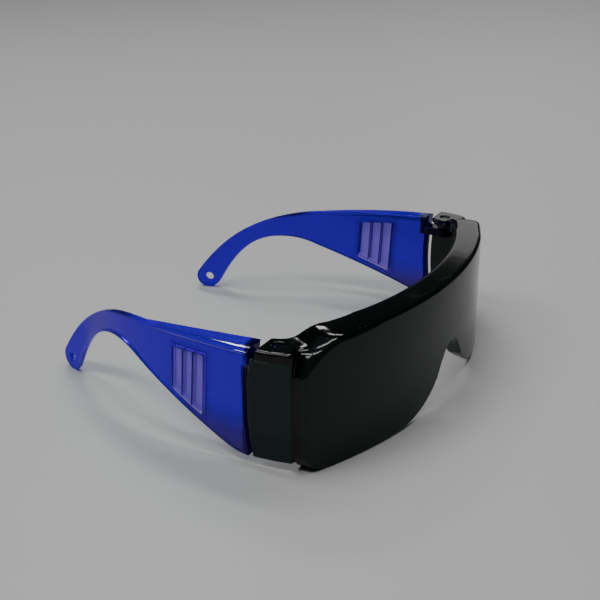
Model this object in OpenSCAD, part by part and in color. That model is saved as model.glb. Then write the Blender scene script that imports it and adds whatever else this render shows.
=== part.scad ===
/* [Lens] */
// Width of the raised main lens
lens_w = 150; // [140:1:156]
// Height of the main lens, from its lowest edge to the crease at the brow
lens_h = 44.5; // [40:0.5:50]
// Radius of the main lens, seen from above
lens_bow_r = 156; // [130:1:220]
// Wall of the whole front moulding
wall = 2; // [1.6:0.1:2.4]
// Radius of the upper corners of the main lens
lens_top_r = 14; // [10:0.5:17]
// Radius of the lower corners of the main lens
lens_low_r = 7; // [4:0.5:10]
// Depth of the step between the main lens and the side panels
step_depth = 4.8; // [3:0.1:6]

/* [Brow] */
// Depth of the brow shelf at the middle
brow_depth = 9.2; // [7:0.1:12]
// Length of the slope from the brow shelf down to the hinge shelves
ramp_l = 13; // [8:0.5:16]
// Radius of the rounded ends of the brow shelf, seen from the front
brow_top_r = 17.5; // [17:0.1:19]
// Rise of the brow shelf from the crease to its inner edge
brow_rise = 1.4; // [0.6:0.1:2.5]
// Width of the bevel along the crease
brow_bevel = 1; // [0.5:0.1:1.5]

/* [Side panels] */
// Overall width at the rear edge of the side panels
rear_w = 156; // [152:0.5:166]
// Depth of the forward facet, from the step to the crease
facet_front_d = 6.8; // [5:0.1:9]
// Depth of the rear facet, from the crease to the rear edge
facet_rear_d = 6.4; // [5:0.1:9]
// How far the crease lies inside the overall width on each side
crease_inset = 0.5; // [0.2:0.1:1]
// How far the forward end of the side panel lies outside the lens edge
foot_flare = 0.9; // [0.4:0.1:1.6]
// Height of the top of the side panels
side_h = 41.6; // [38:0.2:44]
// Height of the lower edge of the side panels
side_low = 3.2; // [2:0.1:5]
// Radius of the upper rear corner of the panel in the forward facet
panel_corner_r = 4.4; // [3:0.1:5.5]
// Height of the rim along the top of the side panels
rim_h = 3.6; // [2.5:0.1:5]
// Radius of the rounded top edge of that rim
rim_top_r = 1; // [0.6:0.1:1.4]
// How far the facets lie behind the rim
rim_proud = 0.5; // [0.3:0.1:0.8]
// How far the rear edge bows backwards at mid height
rear_bow = 1.9; // [1:0.1:2.5]

/* [Nose] */
// Height of the nose arch
nose_h = 21; // [17:0.5:24]
// Half the width of the nose arch where its flanks are steepest
nose_flank = 11.5; // [9:0.5:13]
// Half the width of the nose arch where it runs out in the lower edge
nose_foot = 40; // [34:1:44]
// Depth of the nose bridge behind the lens
bridge_depth = 6; // [4:0.5:8]
// Half the width over which the nose bridge runs out into the lens
bridge_half = 17; // [15:0.5:20]

/* [Hinge] */
// Diameter of the hinge peg
peg_d = 3.4; // [3:0.1:4]
// Radial clearance of the peg in its bore
peg_clearance = 0.05; // [0.03:0.01:0.09]
// Distance of the peg from the side of the front moulding
peg_inset = 7.6; // [7.2:0.1:9]
// Distance of the peg in front of the rear edge
peg_forward = 5.8; // [5.4:0.1:7]
// How far the top of the peg lies below the shelf
peg_recess = 0.4; // [0.2:0.1:0.8]
// How far the shelf reaches inside the peg at the rear edge
shelf_reach = 2.8; // [2.6:0.1:3.2]
// How far the rear edge of the hinge shelf lies in front of the side panel's
shelf_setback = 1.5; // [1:0.1:2]
// Height of the boss round the bore, under the shelf
boss_h = 2.4; // [1.5:0.1:3]
// Wall of that boss
boss_wall = 1.3; // [1:0.1:1.6]
// Thickness of the tongue that carries the peg
tongue_t = 3.2; // [2.6:0.1:4]
// Radius of the tongue's round end
tongue_r = 3.6; // [3.2:0.1:3.8]
// Gap between the tongue and the boss above it
tongue_gap = 0.3; // [0.25:0.05:0.5]
// Gap between the front moulding and the edge of the temple
edge_gap = 1.4; // [1:0.1:1.8]
// Radius about the peg of the arc in which the flange ends
knuckle_r = 7.5; // [7:0.1:8]
// Thickness of the curved knuckle wall under that end of the flange
knuckle_t = 2.6; // [2:0.1:3.2]

/* [Temple] */
// Length of the temple, from the rear edge of the front to its tip
temple_l = 102; // [94:1:112]
// Wall of the temple
temple_t = 2; // [1.6:0.1:2.4]
// Radius over which the temple bends inwards, seen from above
temple_bow_r = 184; // [170:2:220]
// Radius over which it straightens again towards the tip
tip_bow_r = 350; // [250:10:500]
// Distance from the front where one bend runs into the other
bend_l = 62; // [56:1:68]
// Angle of the temple to the middle plane where it leaves the front
splay = 4; // [3:0.1:5]
// How far the temple lies inside the side of the front moulding
temple_inset = 0.5; // [0.3:0.1:0.8]
// How far the top of the temple lies below the top of the side panel
temple_top_drop = 0.6; // [0.4:0.1:1.2]
// Distance from the front over which the temple's top edge is nearly level
level_l = 52; // [46:1:58]
// Fall of the top edge over that length
level_fall = 3.8; // [2.4:0.2:5]
// Height of the lower edge at its highest place, above the ear
ear_z = 25.6; // [24:0.2:27]
// Distance of that place from the tip
ear_from_tip = 36; // [33:0.5:39]
// Radius of the rounded tip
tip_r = 5; // [4.5:0.1:6]
// Diameter of the cord hole in the tip
cord_hole_d = 3.6; // [2.8:0.1:4.2]
// Width of the top flange at the hinge
flange_w = 7.6; // [7:0.1:8]
// Length of the top flange
flange_l = 48; // [42:1:54]
// Height of the bead along the lower edge
bead_h = 1.3; // [0.8:0.1:2]
// How far the bead stands out of the plate
bead_proud = 0.4; // [0.3:0.1:0.8]
// Thickness of the rib inside the temple's front edge
rib_t = 0.9; // [0.6:0.1:1.2]
// Width of that rib
rib_w = 1.6; // [1.2:0.1:2]

/* [Vent] */
// Distance of the vent from the front edge of the temple
vent_from_edge = 19; // [16:0.5:22]
// Width of the vent
vent_w = 13.6; // [12:0.1:15]
// Distance of the vent below the top of the temple, at its front side
vent_from_top = 6.8; // [5.5:0.1:8]
// Height of the front side of the vent
vent_front_h = 21.4; // [19:0.2:23]
// Height of the rear side of the vent
vent_rear_h = 15; // [13:0.2:17]
// Lean of the sides of the vent
vent_lean = 3.8; // [2:0.1:5]
// Width of the raised border of the vent
border_w = 1.1; // [0.8:0.1:1.5]
// How far the border stands out of the plate
border_proud = 0.5; // [0.3:0.1:0.8]
// Thickness of a louvre blade
blade_t = 0.8; // [0.6:0.1:1]
// Turn of a louvre blade out of the plate
blade_turn = 20; // [16:1:26]
// Width over which a louvre blade laps the next, seen square on
blade_lap = 0.7; // [0.3:0.1:1.2]

/* [Hidden] */
$fn = 96;
fine = 240;                                // facets of the large circles in a preview
over = 1;                                  // how far a cutter reaches past what it cuts
far = 400;                                 // length of a cutter that spans the part
blades = 3;
lap = 0.04;                                // share by which a facet runs into the shoulder
front_colour = [0.06, 0.1, 0.1];
temple_colour = [0.16, 0.13, 0.68];

// Front moulding
half_rear = rear_w / 2;
half_lens = lens_w / 2;
foot_y = -facet_front_d - facet_rear_d;    // where the side panel meets the step
lens_sag = lens_bow_r - sqrt(lens_bow_r * lens_bow_r - half_lens * half_lens);
apex_y = foot_y - step_depth - lens_sag;   // foremost point of the main lens
lens_axis_y = apex_y + lens_bow_r;
mid_y = (temple_l + apex_y) / 2;           // middle of the whole length
brow_top = lens_h + brow_rise;
brow_back = apex_y + brow_depth;           // inner edge of the brow at the middle
brow_fullness = 0.6;                       // shape of that edge, 0.5 being an ellipse
brow_round_in = 4;                         // start of its round ends, inside the lens's corners
shelf_low = side_h - wall;                 // underside of the hinge shelf
foot = [half_lens + foot_flare, foot_y];
crease = [half_rear - crease_inset, -facet_rear_d];
rear = [half_rear, 0];
rear_wall = 1.15 * wall;                   // the rear facet, which the temple closes against

// Points that shape the nose arch, as shares of its half width and its height
arch_steep = [1, 0.5];                     // the flank
arch_under = [1.6, 0.2];                   // handle below it
arch_over = [0.62, 0.8];                   // handle above it
arch_crown = [0.42, 1];                    // handle at the top
arch_foot = [0.66 * nose_foot, 0.3];       // handle at the foot, in millimetres

// Rear edge of the side panels, bowed about an axis across the part
bow_half = (side_h - side_low) / 2;
bow_r = (bow_half * bow_half + rear_bow * rear_bow) / (2 * rear_bow);
bow_z = side_low + bow_half;

// Hinge
peg_x = half_rear - peg_inset;
peg_y = -peg_forward;
bore_d = peg_d + 2 * peg_clearance;
boss_r = bore_d / 2 + boss_wall;
peg_a = atan2(peg_x, lens_axis_y - peg_y);  // turn of the peg about the axis of the main lens
ramp_end = -boss_r - over / 2;             // foot of the slope, along the brow from the peg
tongue_top = shelf_low - boss_h - tongue_gap;
tongue_low = tongue_top - tongue_t;
shelf_end_x = peg_x - shelf_reach;

// Temple
temple_x = half_rear - temple_inset;
temple_top = side_h - temple_top_drop;
flange_in_x = temple_x - temple_t - flange_w;
bend_a = asin(sin(splay) + bend_l / temple_bow_r);  // the temple's largest turn
bend_c = [temple_x, 0] - temple_bow_r * [cos(splay), sin(splay)];
tip_c = bend_c + (temple_bow_r + tip_bow_r) * [cos(bend_a), sin(bend_a)];
tip = [temple_l - tip_r, tip_r];
tip_top_a = 35;                            // where the upper edge runs into the tip
tip_low_a = -152;                          // where the lower edge runs into the tip
ear = [temple_l - ear_from_tip, ear_z];
level_end = [level_l, temple_top - level_fall];
lower_front = [12, side_low + 2.6];        // where the lower edge starts to rise

// Handles that shape the temple's edges
fall_in = [-0.25 * level_l, 0.34 * level_fall];  // before the end of the nearly level length
fall_out = [0.46 * level_l, -0.63 * level_fall];  // and after it
tip_top_reach = 4.3 * tip_r;               // on the upper edge, before the tip
tip_low_reach = 1.8 * tip_r;               // on the lower edge, before the tip
ear_rear = [0.41 * ear_from_tip, 0];       // above the ear, towards the tip
ear_front = [[8, 0], [12, 2.2], [16, 4]];  // above the ear, towards the front
front_rise = [6, 2.4];                     // where the lower edge starts to rise
flange_taper = 0.8;                        // shape of the flange's inner edge, 1 being straight
vent_fall = 0.85;                          // fall of the vent's top edge

// Points of a cubic curve from a to d, with the handles b and c
function curve(a, b, c, d, n = 12) = [for (i = [0 : n]) let (t = i / n, s = 1 - t)
    s * s * s * a + 3 * s * s * t * b + 3 * s * t * t * c + t * t * t * d];
// Points of an arc about c, from angle a0 to angle a1
function arc(c, r, a0, a1, n = 20) = [for (i = [0 : n]) let (a = a0 + (a1 - a0) * i / n)
    c + r * [cos(a), sin(a)]];
// The points of p, shifted by d
function shift(p, d) = [for (q = p) q + d];
// The point p, with its two parts multiplied by those of s
function scaled(p, s) = [p[0] * s[0], p[1] * s[1]];
// The points of p, in the other order
function back(p) = [for (i = [len(p) - 1 : -1 : 0]) p[i]];
// Turn of the temple about the Z axis at the distance y behind the front
function plan_turn(y) = y < bend_l ? asin((y - bend_c[1]) / temple_bow_r)
    : asin((tip_c[1] - y) / tip_bow_r);
// Outer face of the temple there, seen from above
function plan_x(y) = y < bend_l ? bend_c[0] + temple_bow_r * cos(plan_turn(y))
    : tip_c[0] - tip_bow_r * cos(plan_turn(y));
// Points seen from above along the temple, at the distance d outside its outer face
function plan_line(d, n = 44) = [for (i = [0 : n])
    let (y = (temple_l + peg_forward + over) * i / n - peg_forward)
    [plan_x(y), y] + d * [cos(plan_turn(y)), sin(plan_turn(y))]];
// Inner edge of the brow shelf, seen from above, with u from -1 to 1
function brow_edge(u) = [shelf_end_x * u, brow_back * pow(max(0, 1 - u * u), brow_fullness)];

// Extrudes a front view, drawn in X and Z, from the depth y0 to y1
module along_y(y0, y1) {
    translate([0, y1, 0]) rotate([90, 0, 0]) linear_extrude(y1 - y0) children();
}

// Extrudes a side view, drawn in Y and Z, from x0 to x1
module along_x(x0, x1) {
    translate([x0, 0, 0]) rotate([90, 0, 90]) linear_extrude(x1 - x0) children();
}

// The children, and their mirror image on the other side
module both_sides() {
    children();
    mirror([1, 0, 0]) children();
}

// Rectangle on the X axis, with its own radius at the top and at the bottom
module rounded_plate(w, h, top_r, low_r) {
    translate([-w / 2, low_r]) square([w, h - low_r - top_r]);
    translate([low_r - w / 2, 0]) square([w - 2 * low_r, low_r + over / 2]);
    translate([top_r - w / 2, h - top_r - over / 2]) square([w - 2 * top_r, top_r + over / 2]);
    for (s = [-1, 1]) {
        translate([s * (w / 2 - low_r), low_r]) circle(low_r);
        translate([s * (w / 2 - top_r), h - top_r]) circle(top_r);
    }
}

// Front view of the main lens, drawn in by the distance inset
module lens_view(inset = 0) {
    translate([0, inset])
        rounded_plate(lens_w - 2 * inset, lens_h - 2 * inset, lens_top_r - inset, lens_low_r - inset);
}

// Front view of the nose arch, with its top and flanks moved out by g
module nose_view(g = 0) {
    size = [nose_flank + g, nose_h + g];
    steep = scaled(arch_steep, size);
    half = concat(
        curve([nose_foot, 0], arch_foot, scaled(arch_under, size), steep),
        curve(steep, scaled(arch_over, size), scaled(arch_crown, size), [0, size[1]]));
    polygon(concat(half, [for (q = back(half)) [-q[0], q[1]]],
        [[-nose_foot, -over], [nose_foot, -over]]));
}

// Everything inside the radius r about the axis of the main lens
module lens_drum(r) {
    translate([0, lens_axis_y, -over]) cylinder(r = r, h = far, $fn = fine);
}

// The solid behind the main lens, as far back as the step
module lens_block(inset = 0) {
    intersection() {
        lens_drum(lens_bow_r);
        along_y(apex_y - over, foot_y) lens_view(inset);
    }
}

// The main lens, a curved wall
module main_lens() {
    difference() {
        lens_block();
        lens_drum(lens_bow_r - wall);
        along_y(apex_y - over, 0) nose_view();
    }
}

// The step wall round the corners of the main lens, open at the bottom
module step_wall() {
    difference() {
        intersection() {
            lens_block();
            under_slopes();
        }
        along_y(apex_y - 2 * over, foot_y + over) lens_view(wall);
        translate([lens_low_r - half_lens, apex_y - over, -over])
            cube([lens_w - 2 * lens_low_r, far, lens_h / 2]);
        translate([lens_top_r - half_lens, apex_y - over, lens_h / 2 - 2 * over])
            cube([lens_w - 2 * lens_top_r, far, lens_h]);
    }
}

// The nose bridge, a flange round the nose arch that runs out at both sides
module nose_bridge() {
    inner_r = lens_bow_r - wall;
    side_sag = inner_r - sqrt(inner_r * inner_r - bridge_half * bridge_half);
    sag = bridge_depth - side_sag;
    bridge_r = (bridge_half * bridge_half + sag * sag) / (2 * sag);
    difference() {
        intersection() {
            translate([0, apex_y + wall + bridge_depth - bridge_r, 0])
                cylinder(r = bridge_r, h = lens_h, $fn = fine);
            lens_drum(lens_bow_r - wall / 2);
            along_y(apex_y - over, 0) nose_view(wall);
        }
        along_y(apex_y - 2 * over, over) nose_view();
        translate([-bridge_half - over, apex_y - over, -over])
            cube([2 * (bridge_half + over), far, side_low + over]);
    }
}

// Seen from above, the ground that the brow shelf and the hinge shelves cover
module shelf_view(y_end) {
    steps = 40;
    difference() {
        translate([-half_rear - over, apex_y - over])
            square([rear_w + 2 * over, y_end - apex_y + over]);
        polygon(concat([for (i = [-steps : steps]) brow_edge(i / steps)],
            [[shelf_end_x, far], [-shelf_end_x, far]]));
    }
}

// Front view of the brow, rounded off into the corners of the lens at both ends
module brow_view() {
    end_x = half_lens - lens_top_r - brow_round_in;
    lens_view();
    translate([-end_x, lens_h / 2]) square([2 * end_x, brow_top + over - lens_h / 2]);
    for (s = [-1, 1]) intersection() {
        translate([s * end_x, brow_top - brow_top_r]) circle(brow_top_r);
        translate([-half_lens, lens_h - lens_top_r]) square([lens_w, lens_h]);
    }
}

// Extrudes a view along the brow, drawn from the peg in depth and Z, across the brow
module across_brow() {
    translate([peg_x, peg_y, 0]) rotate([0, 0, peg_a - 90]) along_x(-far, far) children();
}

// View along the brow of the space under the slope from it down to a hinge shelf
module slope_view() {
    mid = ramp_end - ramp_l / 2;
    polygon(concat(
        curve([ramp_end, side_h], [mid, side_h], [mid, brow_top], [ramp_end - ramp_l, brow_top]),
        [[ramp_end - ramp_l, far], [-far, far], [-far, -far], [far, -far], [far, side_h]]));
}

// Everything under both slopes
module under_slopes() {
    intersection() {
        across_brow() slope_view();
        mirror([1, 0, 0]) across_brow() slope_view();
    }
}

// Everything under the top of the brow, as deep as low, with a bevel along the crease
module brow_cone(low) {
    r_bevel = lens_bow_r - brow_bevel;
    r_flat = lens_bow_r - brow_depth + brow_bevel;
    r_in = lens_bow_r - lens_sag - brow_depth;
    translate([0, lens_axis_y, 0]) rotate_extrude($fn = fine) polygon([
        [lens_bow_r, lens_h - low], [lens_bow_r, lens_h], [r_bevel, lens_h + brow_rise / 2],
        [r_flat, brow_top], [r_in, brow_top], [r_in, brow_top - low], [r_flat, brow_top - low]]);
}

// The brow shelf along the top of the main lens
module brow_shelf() {
    intersection() {
        brow_cone(wall);
        linear_extrude(far) shelf_view(0);
        under_slopes();
        along_y(apex_y - over, over) brow_view();
    }
}

// The solid end of the brow, which slopes down to a hinge shelf
module brow_end() {
    intersection() {
        across_brow() difference() {
            slope_view();
            translate([ramp_end, -far]) square(2 * far);
            translate([ramp_end - ramp_l - far, -far]) square([far, 2 * far]);
        }
        brow_cone(lens_top_r);
        translate([0, 0, shelf_low + wall / 4]) linear_extrude(far) shelf_view(0);
        along_y(apex_y - over, over) brow_view();
    }
}

// The shoulder between the step wall and a side panel, just inside that panel's outline
module shoulder() {
    inset = wall / 6;
    ahead = wall / 5;
    x0 = half_lens - lens_top_r;
    mid_z = side_h - rim_top_r;
    along_y(foot_y - ahead, foot_y + wall / 2) difference() {
        union() {
            translate([x0, side_low + inset]) square([foot[0] - inset - x0, mid_z - side_low - inset]);
            translate([x0, mid_z]) square([foot[0] - rim_top_r - x0, rim_top_r - inset]);
            translate([foot[0] - rim_top_r, mid_z]) circle(rim_top_r - inset);
        }
        lens_view(wall);
    }
}

// The hinge shelf, as wide as the side panel leaves it and as long as the brow's end
module hinge_shelf() {
    top_edge = [rim_top_r + over / 2, 0];
    difference() {
        translate([0, 0, shelf_low]) linear_extrude(wall) polygon([
            [0, foot_y - over / 2], foot - top_edge - [0, over / 2], crease - top_edge - [rim_proud, 0],
            crease + [-rim_proud - wall / 2, over / 4], rear - [wall / 2, shelf_setback],
            [0, -shelf_setback]]);
        across_brow() translate([ramp_end - ramp_l + wall / 2 - far, -far]) square([far, 2 * far]);
    }
}

// Extrudes a section, drawn in X and Z with its outer face at X = 0, from plan point a to b
module run(a, b) {
    d = b - a;
    translate([a[0], a[1], 0]) rotate([0, 0, -atan2(d[0], d[1])]) along_y(0, norm(d)) children();
}

// Section of the rim along the top of a side panel, w thick
module rim_section(w) {
    translate([-w, side_h - rim_h]) square([w, rim_h - rim_top_r]);
    translate([-w, side_h - rim_h]) square([w - rim_top_r, rim_h]);
    translate([-rim_top_r, side_h - rim_top_r]) circle(rim_top_r);
}

// The forward facet of a side panel
module front_facet() {
    run(foot + (foot - crease) * lap, crease - [rim_proud, 0])
        translate([-wall, side_low]) square([wall, side_h - rim_top_r + over / 4 - side_low]);
}

// Side view of the panel in the forward facet, with its rounded upper rear corner
module panel_view() {
    start = foot_y - 2 * over;
    top = side_h - rim_top_r;
    translate([start, 0]) square([crease[1] - start, top - panel_corner_r]);
    translate([start, 0]) square([crease[1] - panel_corner_r - start, top]);
    translate([crease[1] - panel_corner_r, top - panel_corner_r]) circle(panel_corner_r);
}

// The rim above the forward facet, which runs out into the facet at the step
module front_rim() {
    end_proud = rim_proud / 4;
    sunk = rim_proud / 10;                 // under the start of the rear facet's rim
    difference() {
        run(foot + [end_proud, 0], crease - [sunk, 0] + (crease - foot) * lap)
            translate([0, -sunk]) rim_section(wall);
        along_x(0, far) panel_view();
    }
}

// The rear facet of a side panel, with the rim along its top and its bowed rear edge
module rear_facet() {
    intersection() {
        run(crease, rear + (rear - crease) * rear_bow) {
            translate([-rear_wall - rim_proud, side_low]) square([rear_wall, side_h - rim_h / 2 - side_low]);
            rim_section(rear_wall + rim_proud);
        }
        bow_drum(0);
        difference() {
            translate([0, -far / 2, 0]) cube(far);
            translate([0, -shelf_setback, side_h - rim_h]) cube(far);
        }
    }
}

// Everything in front of the bowed rear edge, moved back by the gap g
module bow_drum(g) {
    translate([0, rear_bow - bow_r, bow_z]) rotate([0, 90, 0])
        cylinder(r = bow_r + g, h = far, $fn = fine);
}

// A side panel with its hinge shelf, boss and bore
module side_panel() {
    difference() {
        union() {
            intersection() {
                union() {
                    front_facet();
                    front_rim();
                    rear_facet();
                    hinge_shelf();
                }
                linear_extrude(far) shelf_view(rear_bow + over);
            }
            brow_end();
            shoulder();
            translate([peg_x, peg_y, shelf_low - boss_h]) cylinder(r = boss_r, h = boss_h + wall / 2);
        }
        translate([peg_x, peg_y, shelf_low - boss_h - over])
            cylinder(d = bore_d, h = boss_h + wall + 2 * over);
    }
}

module lens_front() {
    color(front_colour) translate([0, -mid_y, 0]) {
        main_lens();
        step_wall();
        nose_bridge();
        brow_shelf();
        both_sides() side_panel();
    }
}

// Upper edge of the temple, seen from the side, from the front to the tip
function upper_edge() = concat(
    curve([-peg_forward, temple_top], [level_l / 3, temple_top], level_end + fall_in, level_end),
    curve(level_end, level_end + fall_out,
        tip + tip_r * [cos(tip_top_a), sin(tip_top_a)] + tip_top_reach * [-sin(tip_top_a), cos(tip_top_a)],
        tip + tip_r * [cos(tip_top_a), sin(tip_top_a)]));

// Lower edge, from the tip to the front
function lower_edge() = concat(
    curve(tip + tip_r * [cos(tip_low_a), sin(tip_low_a)],
        tip + tip_r * [cos(tip_low_a), sin(tip_low_a)] + tip_low_reach * [sin(tip_low_a), -cos(tip_low_a)],
        ear + ear_rear, ear),
    curve(ear, ear - ear_front[0], ear - ear_front[1], ear - ear_front[2]),
    curve(lower_front, lower_front - front_rise, [lower_front[0] / 3, side_low],
        [-peg_forward, side_low]));

// Side view of the whole temple
module temple_view() {
    polygon(concat(upper_edge(), arc(tip, tip_r, tip_top_a, tip_low_a), lower_edge()));
}

// The wall between two distances from the temple's outer face, which bends both ways
module temple_wall(inner, outer) {
    translate([0, 0, -over]) linear_extrude(far)
        polygon(concat(plan_line(inner), back(plan_line(outer))));
}

// The curved plate of the temple
module plate() {
    intersection() {
        temple_wall(-temple_t, 0);
        along_x(temple_x / 4, far) temple_view();
    }
}

// The flange along the top of the temple, widest at the hinge
module flange() {
    steps = 16;
    ys = [for (i = [0 : steps]) -peg_forward + (flange_l + peg_forward) * i / steps];
    outer = [for (y = ys) [plan_x(y) - temple_t / 2, y]];
    inner = [for (y = ys) [plan_x(y) - temple_t
        - flange_w * pow(max(0, 1 - max(0, y) / flange_l), flange_taper), y]];
    intersection() {
        along_x(0, far) polygon(concat(upper_edge(), back(shift(upper_edge(), [0, -temple_t]))));
        linear_extrude(far) polygon(concat(outer, back(inner)));
    }
}

// The bead along the lower edge, from the front to the ear
module bead() {
    low = lower_edge();
    intersection() {
        temple_wall(-temple_t / 2, bead_proud);
        along_x(temple_x / 4, far) polygon(concat(low, back(shift(low, [0, bead_h]))));
    }
}

// The rib along the inside of the front edge, which closes the view through the gap there
module edge_rib() {
    intersection() {
        temple_wall(-temple_t - rib_t, -temple_t / 2);
        bow_drum(edge_gap + rib_w);
        along_x(temple_x / 2, far) temple_view();
    }
}

// Side view of the vent, grown by the distance g
module vent_view(g = 0) {
    y0 = vent_from_edge;
    z1 = temple_top - vent_from_top;
    lean = tan(vent_lean);
    polygon([
        [y0 - g, z1 + g],
        [y0 + vent_w + g, z1 - vent_fall + g],
        [y0 + vent_w + vent_rear_h * lean + g, z1 - vent_rear_h - g],
        [y0 + vent_front_h * lean - g, z1 - vent_front_h - g]]);
}

// The raised border round the vent
module vent_border() {
    intersection() {
        temple_wall(-temple_t / 2, border_proud);
        along_x(temple_x / 2, far) vent_view(border_w);
    }
}

// The louvre blades, which lap one another and are fused to the border at their ends
module louvres() {
    pitch = vent_w / blades;
    blade_w = (pitch + blade_lap) / cos(blade_turn);
    mid = vent_from_edge + vent_w / 2;
    z1 = temple_top - vent_from_top;
    intersection() {
        for (i = [0 : blades - 1]) {
            y = mid + (i - (blades - 1) / 2) * pitch;
            translate([plan_x(y) - temple_t / 2, y, z1]) rotate([vent_lean, 0, plan_turn(y) - blade_turn])
                translate([-blade_t / 2, -blade_w / 2, -vent_front_h - 2 * over])
                    cube([blade_t, blade_w, vent_front_h + 4 * over]);
        }
        along_x(temple_x / 2, far) vent_view(over / 4);
    }
}

// Everything within the radius r of the peg, from the height z0 to z1
module about_peg(r, z0, z1) {
    translate([peg_x, peg_y, z0]) cylinder(r = r, h = z1 - z0);
}

// The tongue that reaches forward under the shelf, and its peg
module hinge_tongue() {
    about_peg(tongue_r, tongue_low, tongue_top);
    translate([flange_in_x, peg_y, tongue_low])
        cube([peg_x + tongue_r - flange_in_x, knuckle_r + knuckle_t / 2, tongue_t]);
    about_peg(peg_d / 2, tongue_low, side_h - peg_recess);
}

// The curved knuckle wall that joins the tongue to the flange and the plate
module knuckle() {
    flange_fall = level_fall / 8;          // over the knuckle
    knuckle_top = temple_top - temple_t / 2 - flange_fall;
    difference() {
        intersection() {
            union() {
                difference() {
                    about_peg(knuckle_r + knuckle_t, tongue_low, knuckle_top);
                    about_peg(knuckle_r, tongue_low - over, knuckle_top + over);
                }
                about_peg(knuckle_r + knuckle_t / 2, tongue_low, tongue_top);
            }
            translate([bend_c[0], bend_c[1], 0]) cylinder(r = temple_bow_r - temple_t / 2, h = far, $fn = fine);
            translate([flange_in_x, -over, 0]) cube(far);
        }
        bow_drum(edge_gap);
    }
}

module temple() {
    difference() {
        union() {
            difference() {
                union() {
                    plate();
                    flange();
                    bead();
                    edge_rib();
                    vent_border();
                }
                bow_drum(edge_gap);
                about_peg(knuckle_r, tongue_top, far);
                along_x(0, far) vent_view();
            }
            louvres();
            knuckle();
        }
        translate([plan_x(tip[0]), tip[0], tip[1]]) rotate([0, 0, plan_turn(tip[0])])
            rotate([0, 90, 0]) cylinder(d = cord_hole_d, h = 2 * tip_r, center = true);
    }
    hinge_tongue();
}

module temple_right() {
    color(temple_colour) translate([0, -mid_y, 0]) mirror([1, 0, 0]) temple();
}

module temple_left() {
    color(temple_colour) translate([0, -mid_y, 0]) temple();
}

lens_front();
temple_right();
temple_left();
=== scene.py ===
import math

import bmesh
import bpy
from mathutils import Matrix, Vector
from mathutils.kdtree import KDTree


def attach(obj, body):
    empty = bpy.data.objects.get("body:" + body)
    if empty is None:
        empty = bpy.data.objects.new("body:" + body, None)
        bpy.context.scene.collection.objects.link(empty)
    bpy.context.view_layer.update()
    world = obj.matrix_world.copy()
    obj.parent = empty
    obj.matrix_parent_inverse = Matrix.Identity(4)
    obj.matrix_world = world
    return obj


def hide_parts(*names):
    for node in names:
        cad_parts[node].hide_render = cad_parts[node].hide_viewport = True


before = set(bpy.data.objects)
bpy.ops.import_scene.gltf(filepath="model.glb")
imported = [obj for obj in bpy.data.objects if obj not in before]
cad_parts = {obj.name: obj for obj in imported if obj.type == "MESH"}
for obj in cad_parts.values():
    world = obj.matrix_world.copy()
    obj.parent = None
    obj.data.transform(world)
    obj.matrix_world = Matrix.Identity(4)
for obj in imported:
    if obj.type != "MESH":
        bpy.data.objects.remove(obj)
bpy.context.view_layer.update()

MM = 0.001


def add_object(name, data):
    """A new object of a mesh, lamp or camera, in the scene."""
    made = bpy.data.objects.new(name, data)
    bpy.context.scene.collection.objects.link(made)
    return made


# Camera, set to the photograph's viewing angle

CAMERA_PLACE = Vector((-339, -192.4, 186)) * MM
CAMERA_AZIMUTH = math.radians(-61.44)
CAMERA_ELEVATION = math.radians(22.70)
CAMERA_ROLL = math.radians(-0.40)
SENSOR_W = 36                      # in mm
FOCAL_SHARE = 1097 / 600           # focal length as a share of the sensor's width


def set_camera():
    """The camera at its place, looking down its negative Z axis."""
    flat = math.cos(CAMERA_ELEVATION)
    behind = Vector((math.sin(CAMERA_AZIMUTH) * flat, -math.cos(CAMERA_AZIMUTH) * flat,
                     math.sin(CAMERA_ELEVATION)))
    right = Vector((0, 0, 1)).cross(behind).normalized()
    up = behind.cross(right)
    right, up = (right * math.cos(CAMERA_ROLL) + up * math.sin(CAMERA_ROLL),
                 up * math.cos(CAMERA_ROLL) - right * math.sin(CAMERA_ROLL))
    lens = bpy.data.cameras.new("camera")
    lens.sensor_width = SENSOR_W
    lens.lens = SENSOR_W * FOCAL_SHARE
    lens.clip_start = 10 * MM
    camera = add_object("camera", lens)
    turn = Matrix((right, up, behind)).transposed().to_4x4()
    camera.matrix_world = Matrix.Translation(CAMERA_PLACE) @ turn
    bpy.context.scene.camera = camera


set_camera()


# The part's own measures, in metres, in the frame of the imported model

MID_Y = 32.394 * MM                # how far the solids are moved forward in their source
HINGE_Y = -5.8 * MM - MID_Y        # the pegs, and the front end of a temple's top edge
PEG_X = 70.4 * MM
KNUCKLE_R = 9.6 * MM               # of the thick, dark part of a temple round its peg
WALL = 2 * MM

# The front
LENS_R = 156 * MM                  # outside of the main lens, seen from above
LENS_AXIS_Y = 118.788 * MM - MID_Y
LENS_TOP = 44.5 * MM               # the crease at the brow
STEP_Y = -13.2 * MM - MID_Y        # between a side panel and the step round the lens
CREASE_Y = -6.4 * MM - MID_Y       # between the two facets of a side panel
RIM_LOW_Z = 38 * MM                # lower edge of the rim along a side panel's top
GAP_Y = -MID_Y                     # rear edge of the front, at its ends

# A temple, seen from above, with its length counted from GAP_Y
PLATE_X = 77.5 * MM                # outer face of its plate at GAP_Y
SPLAY = math.radians(4)            # turn of the plate there
BOW_R = 184 * MM                   # of the bow inwards
BOW_END = 62 * MM                  # where that bow runs into the next
TIP_BOW_R = 350 * MM               # of the bow back outwards
RIB_X = 75.6 * MM                  # inside of the plate at its front edge
TIP_Y = 97 * MM - MID_Y

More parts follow.
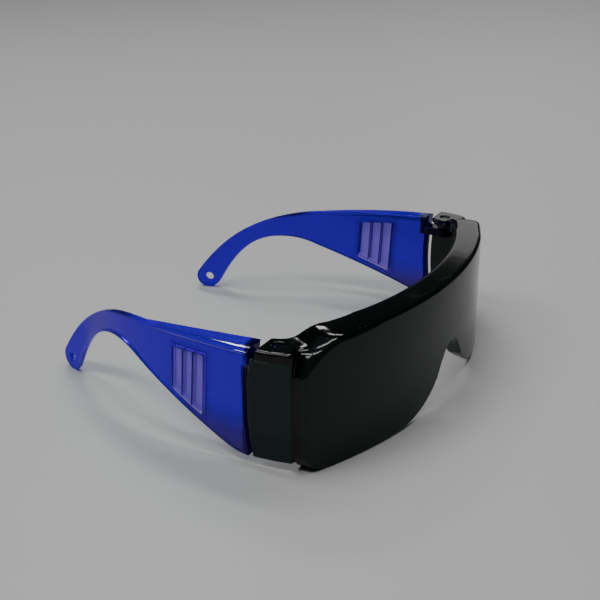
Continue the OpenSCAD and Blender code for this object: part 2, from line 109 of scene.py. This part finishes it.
# A temple's top edge
TOP_Z = 41 * MM                    # its height at HINGE_Y
TOP_FALL = 1.137                   # how fast it falls from there, in 1/m
TOP_CURVE = ((-5.8, 41), (17.33, 41), (39, 38.49), (52, 37.2))  # end, handles and end, in mm
TOP_STEPS = 12                     # straight steps of that curve
FLANGE_L = 53.8 * MM               # of the flange along it, from HINGE_Y

# The vent in a temple
VENT_Y = 19 * MM - MID_Y           # front side, at its top
VENT_W = 13.6 * MM
VENT_TOP = 34.2 * MM
VENT_LEAN = math.tan(math.radians(3.8))
VENT_FRONT_H = 21.4 * MM
VENT_REAR_H = 15 * MM
VENT_FALL = 0.85 * MM              # fall of the top edge towards the rear
VENT_BORDER_W = 0.55 * MM          # of the dark border round the opening
VENT_OUTLINE_FROM = 1.45 * MM      # where a fainter line starts and ends outside the opening
VENT_OUTLINE_TO = 1.9 * MM
SILL_DROP = 0.25 * MM              # how far the sill's painted highlight lies below the opening
BLADES = 3
LAP_SHARE = 0.43, 0.46             # where a lap starts and is full, in blades from a blade's middle


def vent_place(y, z):
    """How far a point lies behind the vent's front side, and how high the vent starts and ends
    there, for numbers as well as for links of a material."""
    along = y - VENT_Y - (VENT_TOP - z) * VENT_LEAN
    low = VENT_TOP - VENT_FRONT_H + along * ((VENT_FRONT_H - VENT_REAR_H - VENT_FALL) / VENT_W)
    high = VENT_TOP - along * (VENT_FALL / VENT_W)
    return along, low, high


# Colours, in linear light. A pair is what a plastic's clouds go between.

BROW_BLACK = (0.0006, 0.001, 0.0011, 1), (0.001, 0.0016, 0.0017, 1)
# The side facets are painted apart, greyer behind the crease and greener in front of it: painted
# shading for how light falls on their two angles.
REAR_FACET_PAINTED_GREY = (0.0042, 0.0085, 0.0092, 1), (0.0052, 0.0102, 0.0108, 1)
FRONT_FACET_PAINTED_GREEN = (0.0036, 0.0115, 0.0125, 1), (0.0046, 0.0138, 0.0146, 1)
LENS_GREEN = (0.0034, 0.0068, 0.0064, 1), (0.0042, 0.0086, 0.008, 1)
# A painted highlight on the front's rounded outer edges
EDGE_HIGHLIGHT_GREY = (0.02, 0.028, 0.027, 1)
DUST_GREY = (0.05, 0.055, 0.055, 1)
PLATE_BLUE = (0.068, 0, 0.79, 1)
CLOUD_BLUE = (0.045, 0, 0.65, 1)
LOW_BLUE = (0.085, 0.055, 0.24, 1)
# A painted reflection on the outer face of a temple's bend
BEND_SHEEN_BLUE = (0.18, 0.12, 0.55, 1)
EDGE_BLUE = (0.004, 0.003, 0.02, 1)
DOUBLED_BLUE = (0.02, 0.001, 0.7, 1)
ROOT_BLUE = (0.01, 0.002, 0.25, 1)
BORDER_BLUE = (0.006, 0.001, 0.12, 1)
BLADE_BLUE = (0.36, 0.25, 1, 1)
LAP_BLUE = (0.01, 0.004, 0.12, 1)
DUST_BLUE = (0.3, 0.28, 0.7, 1)
HINGE_BLACK = (0.0015, 0.0015, 0.008, 1)
# Painted shade on a temple's faces in the gap to the front
GAP_SHADE_BLACK = (0.0006, 0.0006, 0.003, 1)
# A painted highlight along the vent's sill
SILL_HIGHLIGHT_WHITE = (0.95, 0.95, 1, 1)
FLOOR_GREY = (0.4, 0.41, 0.4, 1)


# Materials

RELIEF = 0.004 * MM                # height of one unit of bump
NOISE_MIDDLE = 0.5
SCRATCH = 0.012, 0.002             # where a scratch starts and is full, from the noise's middle
SPECK_FULL = 0.8                   # noise at which a speck of dust is full
RUBBED_AND_LIT = 0.53, 0.6                 # pointiness at which an edge starts to be rubbed and painted with a highlight, and is fully
MIX_FIRST, MIX_SECOND, MIX_RESULT = 6, 7, 2  # sockets of a Mix node that takes colours


class Socket:
    """One output in a material's nodes. Python's operators on it add Math nodes."""

    def __init__(self, paint, link):
        self.paint = paint
        self.link = link

    def __add__(self, other):
        return self.paint.maths("ADD", self, other)

    def __sub__(self, other):
        return self.paint.maths("SUBTRACT", self, other)

    def __rsub__(self, other):
        return self.paint.maths("SUBTRACT", other, self)

    def __mul__(self, other):
        return self.paint.maths("MULTIPLY", self, other)

    def __abs__(self):
        return self.paint.maths("ABSOLUTE", self)

    __radd__ = __add__
    __rmul__ = __mul__


class Paint:
    """A material with one Principled shader, and the nodes that feed it."""

    def __init__(self, name, **uniform):
        self.material = bpy.data.materials.new(name)
        self.material.use_nodes = True
        self.tree = self.material.node_tree
        self.shader = self.tree.nodes["Principled BSDF"]
        self.set(**uniform)
        self.place = self.node("ShaderNodeTexCoord", output="Object")
        self.x = self.axis("X", self.place)
        self.y = self.axis("Y", self.place)
        self.z = self.axis("Z", self.place)

    def plug(self, socket, value):
        """Gives a socket a value or a link."""
        if isinstance(value, Socket):
            self.tree.links.new(value.link, socket)
        else:
            socket.default_value = value

    def set(self, **values):
        """Gives the shader's sockets, named with _ for a space, their values or links."""
        for name, value in values.items():
            self.plug(self.shader.inputs[name.replace("_", " ")], value)

    def node(self, kind, *inputs, output=0, settings=None, **named):
        """Any node, from its type, its settings and the values or links of its sockets."""
        made = self.tree.nodes.new(kind)
        for name, value in (settings or {}).items():
            setattr(made, name, value)
        for socket, value in zip(made.inputs, inputs):
            self.plug(socket, value)
        for name, value in named.items():
            self.plug(made.inputs[name], value)
        return Socket(self, made.outputs[output])

    def maths(self, operation, *inputs):
        """A Math node of values or links."""
        return self.node("ShaderNodeMath", *inputs, settings=dict(operation=operation))

    def axis(self, name, place):
        """The X, Y or Z part of a place or direction."""
        return self.node("ShaderNodeSeparateXYZ", place, output=name)

    def stretched(self, scale, turn=0):
        """The object's place, scaled along each axis and turned about X."""
        return self.node("ShaderNodeMapping", self.place, Scale=scale, Rotation=(turn, 0, 0))

    def noise(self, scale, detail=2, place=None):
        """Even noise from 0 to 1, with scale bumps to the metre."""
        return self.node("ShaderNodeTexNoise", Vector=place or self.place, Scale=scale,
                         Detail=detail)

    def between(self, value, low, high):
        """0 at low, 1 at high and smooth between them, whichever is the larger."""
        if low < high:
            return self.node("ShaderNodeMapRange", value, low, high,
                             settings=dict(interpolation_type="SMOOTHSTEP"))
        return 1 - self.between(value, high, low)

    def specks(self, scale, start):
        """1 on specks of dust, which are fewer the higher the noise at which they start."""
        return self.between(self.noise(scale), start, SPECK_FULL)

    def scratches(self, scale, turn, stretch, patch_scale, patch_start, patch_full):
        """Fine straight scratches that run one way, in patches, 1 on a scratch and 0 elsewhere."""
        lines = self.noise(scale, detail=1, place=self.stretched(stretch, turn))
        patches = self.between(self.noise(patch_scale), patch_start, patch_full)
        return self.between(abs(lines - NOISE_MIDDLE), *SCRATCH) * patches

    def rubbed_and_lit_edges(self):
        """1 on the rounded outer edges of a moulding, which are rubbed and take a painted
        highlight.
        """
        bent = self.node("ShaderNodeNewGeometry", output="Pointiness")
        return self.between(bent, *RUBBED_AND_LIT)

    def mix(self, share, first, second):
        """A colour mixed from two, with a share of the second."""
        made = self.tree.nodes.new("ShaderNodeMix")
        made.data_type = "RGBA"
        self.plug(made.inputs["Factor"], share)
        self.plug(made.inputs[MIX_FIRST], first)
        self.plug(made.inputs[MIX_SECOND], second)
        return Socket(self, made.outputs[MIX_RESULT])

    def layered(self, colour, *layers):
        """A colour with others over it in turn, each given after its share."""
        for share, over in layers:
            colour = self.mix(share, colour, over)
        return colour

    def bump(self, height):
        """Relief on the surface, in units of RELIEF."""
        self.set(Normal=self.node("ShaderNodeBump", Height=height, Distance=RELIEF))


def shade_plastic():
    """The front, one moulding in a dark green welding shade that looks black, with painted shading
    on its side facets.
    """
    paint = Paint("shade_plastic", IOR=1.42, Specular_IOR_Level=0.34)
    # The regions, with their soft edges: the main lens, the side facets below their rim, and
    # what lies in front of the crease
    lens = (paint.between(paint.y, STEP_Y - 2 * MM, STEP_Y - 5 * MM)
            * paint.between(paint.z, LENS_TOP + 0.3 * MM, LENS_TOP - 1 * MM))
    facets = (paint.between(paint.y, STEP_Y - 0.2 * MM, STEP_Y)
              * paint.between(paint.z, RIM_LOW_Z + 0.3 * MM, RIM_LOW_Z - 0.1 * MM))
    front_facet = paint.between(paint.y, CREASE_Y, CREASE_Y - 0.3 * MM)
    # The surface, its wear, and the painted highlight on its rounded edges
    rubbed_and_lit = paint.rubbed_and_lit_edges()
    cloud = paint.noise(60, detail=3)
    grain = paint.noise(5200)
    dust = paint.specks(2600, 0.72)
    hair = paint.scratches(300, 0.5, (1, 1, 0.06), 90, 0.5, 0.62)
    fine = paint.scratches(420, -0.9, (1, 1, 0.08), 70, 0.52, 0.66)
    # Painted shading: the facet behind the crease greyer, the one in front greener
    facet_painted_shading = paint.mix(front_facet, paint.mix(cloud, *REAR_FACET_PAINTED_GREY),
                             paint.mix(cloud, *FRONT_FACET_PAINTED_GREEN))
    paint.set(Base_Color=paint.layered(
        paint.mix(cloud, *BROW_BLACK),
        (facets, facet_painted_shading),
        (lens, paint.mix(cloud, *LENS_GREEN)),
        # A painted highlight on the rounded edges
        (rubbed_and_lit * 0.35, EDGE_HIGHLIGHT_GREY),
        (dust * 0.18, DUST_GREY)))
    paint.set(Roughness=0.055 + 0.05 * cloud + 0.03 * grain * (1 - lens) + 0.12 * hair + 0.1 * fine
              + 0.25 * dust + 0.08 * rubbed_and_lit)
    paint.bump(0.4 * grain - 1 * hair - 0.8 * fine + 1.2 * dust + 4 * cloud)
    return paint.material


def vent_masks(paint):
    """Masks of the vent's dark border and of the painted highlight along its sill."""
    along, low, high = vent_place(paint.y, paint.z)

    def opening(grow):
        """1 in the vent's opening, grown by a distance, and soft just inside its edge."""
        soft = 0.15 * MM
        return (paint.between(along, -grow, soft - grow)
                * paint.between(along, VENT_W + grow, VENT_W + grow - soft)
                * paint.between(paint.z - low, -grow, soft - grow)
                * paint.between(high - paint.z, -grow, soft - grow))

    border = opening(VENT_BORDER_W) * (1 - opening(0))
    outline = opening(VENT_OUTLINE_TO) * (1 - opening(VENT_OUTLINE_FROM))
    # The painted highlight along the sill
    sill_highlight = (paint.between(abs(paint.z - low + SILL_DROP), 0.4 * MM, 0.25 * MM)
            * paint.between(along, -0.2 * MM, 0.6 * MM)
            * paint.between(along, VENT_W + 0.2 * MM, VENT_W - 0.6 * MM))
    return border + 0.6 * outline, sill_highlight


def temple_finish(paint, blue, *layers):
    """Gives a temple's plastic its colour, with layers over its clouds, its gloss and its wear."""
    cloud = paint.noise(45, detail=3)
    flow = paint.noise(160, place=paint.stretched((1, 0.2, 1)))
    grain = paint.noise(4200)
    dust = paint.specks(2300, 0.74)
    hair = paint.scratches(260, 0.35, (1, 0.06, 1), 80, 0.5, 0.64)
    paint.set(Base_Color=paint.layered(blue, (cloud * 0.3, CLOUD_BLUE), *layers,
                                       (dust * 0.1, DUST_BLUE)))
    paint.set(Roughness=0.06 + 0.05 * cloud + 0.03 * grain + 0.14 * hair + 0.2 * dust)
    paint.bump(0.4 * grain - 1 * hair + 1.2 * dust + 5 * flow)
    return paint.material


def blue_plastic(outside):
    """A temple, moulded in clear blue plastic, darker where it is thick or doubled. It lies on the
    side of the part that outside gives, -1 for the right and 1 for the left."""
    paint = Paint("blue_plastic", IOR=1.2, Transmission_Weight=0.75, Specular_IOR_Level=0.3,
                  Coat_Roughness=0.06, Coat_IOR=1.8)
    from_peg_x = paint.x - PEG_X * outside
    behind = paint.y - HINGE_Y
    from_peg = paint.maths("SQRT", from_peg_x * from_peg_x + behind * behind)
    hinge = paint.between(from_peg, KNUCKLE_R + 1.6 * MM, KNUCKLE_R)
    border, sill_highlight = vent_masks(paint)
    # How deep a point lies below the temple's top edge
    below = TOP_Z - behind * behind * TOP_FALL - paint.z
    # The line under the flange, the flange itself, which doubles the plate, the dark edge that
    # goes on behind it, and the greyer low front of the plate
    root = (paint.between(abs(below - WALL), 0.45 * MM, 0.1 * MM)
            * paint.between(behind, FLANGE_L + 4 * MM, FLANGE_L - 8 * MM))
    doubled = (paint.between(below, WALL, WALL - 0.4 * MM)
               * paint.between(behind, FLANGE_L, FLANGE_L - 20 * MM))
    edge = (paint.between(below, 1.4 * MM, 0.9 * MM)
            * paint.between(behind, FLANGE_L + 2 * MM, FLANGE_L + 12 * MM))
    low = (paint.between(paint.z, 20 * MM, 3 * MM)
           * paint.between(paint.y, GAP_Y + 50 * MM, GAP_Y + 25 * MM))
    # The bend before the tip, painted paler on its outer face as a painted reflection
    outward = paint.axis("X", paint.node("ShaderNodeNewGeometry", output="Normal")) * outside
    bend_sheen = (paint.between(paint.y, TIP_Y - 38 * MM, TIP_Y - 22 * MM)
            * paint.between(paint.y, TIP_Y - 8 * MM, TIP_Y - 16 * MM)
            * paint.between(outward, 0.3, 0.7))
    blue = paint.layered(
        PLATE_BLUE,
        (low, LOW_BLUE),
        (bend_sheen * 0.6, BEND_SHEEN_BLUE),
        (edge * 0.9, EDGE_BLUE),
        (doubled * 0.35, DOUBLED_BLUE),
        (root * 0.6, ROOT_BLUE),
        (border * 0.92, BORDER_BLUE))
    # A clear coat gives the flange's outer edge and the vent's sill their bright lines; the sill is
    # also painted white as a painted highlight
    crowned = doubled * (1 - hinge) * paint.between(outward, 0, 0.12)
    paint.set(Coat_Weight=paint.maths("MAXIMUM", crowned, sill_highlight))
    return temple_finish(paint, blue, (hinge * 0.97, HINGE_BLACK), (sill_highlight, SILL_HIGHLIGHT_WHITE))


def blade_plastic():
    """The thin louvre blades of a vent, which let more light through, and their laps."""
    paint = Paint("vent_blade_plastic", IOR=1.12, Transmission_Weight=0.6, Specular_IOR_Level=0.3)
    along, _, _ = vent_place(paint.y, paint.z)
    step = paint.maths("FRACT", along * (BLADES / VENT_W))
    lap = paint.between(abs(step - 0.5), *LAP_SHARE)
    return temple_finish(paint, paint.mix(lap, BLADE_BLUE, LAP_BLUE))


def painted_gap_shade():
    """A temple's front edge and rib, painted black and unreflecting as painted shade, since they
    lie in the dark of the gap to the front.
    """
    paint = Paint("painted_gap_shade", Specular_IOR_Level=0.02)
    return temple_finish(paint, GAP_SHADE_BLACK)


# Pieces

# Meshing, and the rounds of softening that give every edge its moulded rounding
FRONT_VOXEL, FRONT_ROUNDS = 0.26 * MM, 9
TEMPLE_VOXEL, TEMPLE_ROUNDS = 0.2 * MM, 4
FACE_LIMIT = 190000                # triangles of one piece
JOIN_DISTANCE = 0.002 * MM         # within which corners of loose triangles are one point

# The brow's sloping ends, softened in regions, each further out, up and forward than the last
END_REGIONS = 5
END_ROUNDS = 24
END_X, END_X_STEP = 46 * MM, 2 * MM
END_Z, END_Z_STEP = 35 * MM, 1 * MM
END_Y, END_Y_STEP = HINGE_Y - 5 * MM, 1 * MM

# Points of the lens, by their distance from its true cylinder
TRUE_NEAR = 0.06 * MM              # within this they move onto it
TRUE_FAR = 0.16 * MM               # from here on they stay, and between the two they move less

# A temple's upper outer edge
EDGE_NORMAL = 0.3                  # least part of its normal upwards, and outwards
EDGE_X = 40 * MM                   # least distance from the middle plane
EDGE_RINGS = 3                     # rings of points round it that are softened with it
EDGE_ROUNDS = 6

# The crown of a temple's flange
CROWN_Z = 35 * MM                  # points below this stay
CROWN_W, CROWN_MORE_W = 1 * MM, 4.2 * MM    # width at the flange's end, and what the hinge adds
CROWN_H, CROWN_MORE_H = 0.9 * MM, 0.7 * MM  # depth, in the same way

# A temple's faces in the dark of the gap to the front, which take the painted shade
GAP_TOP = 34 * MM
GAP_DEPTH = 6 * MM
GAP_NORMAL = -0.6                  # Y part of the normal, below which a face looks forwards
RIB_END = 4.8 * MM                 # how far back the rib reaches


def finish_modifiers(piece):
    """Takes the piece's modifiers into its mesh."""
    done = bpy.data.meshes.new_from_object(
        piece.evaluated_get(bpy.context.evaluated_depsgraph_get()))
    piece.modifiers.clear()
    old = piece.data
    piece.data = done
    bpy.data.meshes.remove(old)


def even_copy(node, name, voxel):
    """A copy of a CAD node's solid, meshed evenly with its points about a voxel apart."""
    mesh = bmesh.new()
    mesh.from_mesh(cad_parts[node].data)
    bmesh.ops.remove_doubles(mesh, verts=mesh.verts, dist=JOIN_DISTANCE)
    data = bpy.data.meshes.new(name)
    mesh.to_mesh(data)
    mesh.free()
    piece = add_object(name, data)
    even = piece.modifiers.new("even", "REMESH")
    even.mode = "VOXEL"
    even.voxel_size = voxel
    finish_modifiers(piece)
    return piece


def soften(mesh, verts, rounds):
    """Evens the points out against their neighbours, a little each round."""
    for _ in range(rounds):
        bmesh.ops.smooth_vert(mesh, verts=verts, factor=0.5, use_axis_x=True, use_axis_y=True,
                              use_axis_z=True)


def true_up(mesh, radius):
    """Moves the points near a cylinder about the lens's axis onto it, ever less the further off."""
    for vertex in mesh.verts:
        x, y = vertex.co.x, vertex.co.y - LENS_AXIS_Y
        r = math.hypot(x, y)
        off = radius - r
        if abs(off) < TRUE_FAR and y < 0:
            share = min(1, (TRUE_FAR - abs(off)) / (TRUE_FAR - TRUE_NEAR))
            grow = 1 + off * share / r
            vertex.co.x, vertex.co.y = x * grow, y * grow + LENS_AXIS_Y


def shape_front(mesh):
    """Softens the brow's sloping ends, more the further out, and trues up the main lens."""
    for i in range(END_REGIONS):
        ends = [v for v in mesh.verts if abs(v.co.x) > END_X + i * END_X_STEP
                and v.co.z > END_Z + i * END_Z_STEP and v.co.y < END_Y - i * END_Y_STEP]
        soften(mesh, ends, END_ROUNDS)
    for radius in (LENS_R, LENS_R - WALL):
        true_up(mesh, radius)


def outer_x(length):
    """Outer face of a temple's plate, seen from above, at a length along it."""
    turn = math.asin(math.sin(SPLAY) + BOW_END / BOW_R)
    axis = Vector((PLATE_X - BOW_R * math.cos(SPLAY), -BOW_R * math.sin(SPLAY)))
    tip_axis = axis + (BOW_R + TIP_BOW_R) * Vector((math.cos(turn), math.sin(turn)))
    if length < BOW_END:
        return axis.x + math.sqrt(BOW_R ** 2 - (length - axis.y) ** 2)
    return tip_axis.x - math.sqrt(TIP_BOW_R ** 2 - (tip_axis.y - length) ** 2)


def top_edge():
    """Points of a temple's top edge, each a length along the temple and a height."""
    points = []
    for i in range(TOP_STEPS + 1):
        t, u = i / TOP_STEPS, 1 - i / TOP_STEPS
        shares = (u ** 3, 3 * u * u * t, 3 * u * t * t, t ** 3)
        points.append([sum(share * point[k] for share, point in zip(shares, TOP_CURVE)) * MM
                       for k in (0, 1)])
    return points


def crown(mesh, outside):
    """Rounds the outer side of the flange along a temple's top edge, ever less to its end."""
    points = top_edge()
    end = points[-1][0]
    for vertex in mesh.verts:
        length = vertex.co.y - GAP_Y
        if length > end or vertex.co.x * outside < 0 or vertex.co.z < CROWN_Z:
            continue
        i = max(i for i in range(TOP_STEPS) if points[i][0] <= length or i == 0)
        (y0, z0), (y1, z1) = points[i], points[i + 1]
        top = z0 + (z1 - z0) * (length - y0) / (y1 - y0)
        side = outer_x(length)
        share = 1 - max(0, length) / end
        wide, deep = CROWN_W + CROWN_MORE_W * share, CROWN_H + CROWN_MORE_H * share
        u = 1 - (side - vertex.co.x * outside) / wide
        w = 1 - (top - vertex.co.z) / deep
        reach = math.hypot(u, w)
        if u > 0 and w > 0 and reach > 1:
            vertex.co.x = outside * (side - wide * (1 - u / reach))
            vertex.co.z = top - deep * (1 - w / reach)


def shape_temple(mesh, outside):
    """Softens a temple's upper outer edge behind the hinge, and crowns its flange."""
    mesh.normal_update()
    edge = [v for v in mesh.verts if v.normal.z > EDGE_NORMAL
            and v.normal.x * outside > EDGE_NORMAL and v.co.x * outside > EDGE_X]
    for _ in range(EDGE_RINGS):
        edge = list({e.other_vert(v) for v in edge for e in v.link_edges} | set(edge))
    soften(mesh, edge, EDGE_ROUNDS)
    crown(mesh, outside)


def moulding(node, name, voxel, rounds, shape, *details):
    """A CAD solid's copy with moulded roundings on its edges, and what shape does to its mesh."""
    piece = even_copy(node, name, voxel)
    mesh = bmesh.new()
    mesh.from_mesh(piece.data)
    soften(mesh, mesh.verts, rounds)
    shape(mesh, *details)
    # The lighter mesh keeps the normals of the full one, for clean reflections
    mesh.normal_update()
    places = KDTree(len(mesh.verts))
    for i, vertex in enumerate(mesh.verts):
        places.insert(vertex.co, i)
    places.balance()
    normals = [vertex.normal.copy() for vertex in mesh.verts]
    mesh.to_mesh(piece.data)
    mesh.free()
    count = sum(len(face.vertices) - 2 for face in piece.data.polygons)
    if count > FACE_LIMIT:
        thin = piece.modifiers.new("thin", "DECIMATE")
        thin.ratio = FACE_LIMIT / count
        finish_modifiers(piece)
    piece.data.name = name
    for face in piece.data.polygons:
        face.use_smooth = True
    piece.data.normals_split_custom_set_from_vertices(
        [normals[places.find(vertex.co)[1]] for vertex in piece.data.vertices])
    return piece


def in_vent(face):
    """Whether a face of a temple lies in the vent's opening in the side view."""
    along, low, high = vent_place(face.center.y, face.center.z)
    return 0 < along < VENT_W and low < face.center.z < high


def in_gap(face):
    """Whether a face of a temple lies on its front edge or on the rib inside that edge."""
    length = face.center.y - GAP_Y
    if face.center.z > GAP_TOP or length > GAP_DEPTH:
        return False
    return face.normal.y < GAP_NORMAL or (abs(face.center.x) < RIB_X and length < RIB_END)


front = moulding("lens_front", "front_moulding", FRONT_VOXEL, FRONT_ROUNDS, shape_front)
front.data.materials.append(shade_plastic())
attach(front, "front")
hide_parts("lens_front")

blades = blade_plastic()
# The faces in the gap get black, unreflecting plastic as painted shade
gap_shade = painted_gap_shade()
PLATE_SLOT, BLADE_SLOT, GAP_SLOT = range(3)
for side, outside in (("right", -1), ("left", 1)):
    temple = moulding("temple_" + side, "temple_moulding_" + side, TEMPLE_VOXEL, TEMPLE_ROUNDS,
                      shape_temple, outside)
    for material in (blue_plastic(outside), blades, gap_shade):
        temple.data.materials.append(material)
    for face in temple.data.polygons:
        if in_vent(face):
            face.material_index = BLADE_SLOT
        elif in_gap(face):
            face.material_index = GAP_SLOT
        else:
            face.material_index = PLATE_SLOT
    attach(temple, "temple_" + side)
    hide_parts("temple_" + side)


# Floor and light

FLOOR_HALF = 3                     # half of the floor's side, in metres
ROOM_COLOUR = (0.05, 0.052, 0.055, 1)
ROOM_STRENGTH = 0.8
NEAR_FLANGE = (-0.07, 0, 0.04)
FAR_BROW = (0.06, -0.03, 0.04)


def set_floor():
    """The pale floor that the part stands on."""
    data = bpy.data.meshes.new("floor")
    mesh = bmesh.new()
    bmesh.ops.create_grid(mesh, x_segments=1, y_segments=1, size=FLOOR_HALF)
    mesh.to_mesh(data)
    mesh.free()
    floor = add_object("floor", data)
    data.materials.append(Paint("pale_floor", Roughness=0.5, Base_Color=FLOOR_GREY).material)


def set_room():
    """Dim, even light from all round."""
    world = bpy.data.worlds.new("room")
    world.use_nodes = True
    background = world.node_tree.nodes["Background"]
    background.inputs["Color"].default_value = ROOM_COLOUR
    background.inputs["Strength"].default_value = ROOM_STRENGTH
    bpy.context.scene.world = world


def soft_light(name, place, aim, width, height, watts):
    """A rectangular light at a place, turned to where it aims."""
    lamp = bpy.data.lights.new(name, "AREA")
    lamp.shape = "RECTANGLE"
    lamp.size = width
    lamp.size_y = height
    lamp.energy = watts
    turn = (Vector(place) - Vector(aim)).to_track_quat("Z", "Y").to_matrix().to_4x4()
    add_object(name, lamp).matrix_world = Matrix.Translation(place) @ turn


set_floor()
set_room()
for i, x in enumerate((-0.9, 0, 0.9)):
    soft_light("ceiling_strip_%d" % (i + 1), (x, 0.1, 1.9), (x, 0.1, 0),
               width=0.16, height=1.6, watts=15)
soft_light("rear_strip", (-0.52, 0.52, 0.93), NEAR_FLANGE, width=0.5, height=0.1, watts=2.5)
soft_light("flange_strip", (0.51, 0.47, 0.71), NEAR_FLANGE, width=0.22, height=0.1, watts=1.1)
soft_light("right_card", (1.25, 0.25, 0.4), FAR_BROW, width=0.4, height=0.3, watts=0.35)
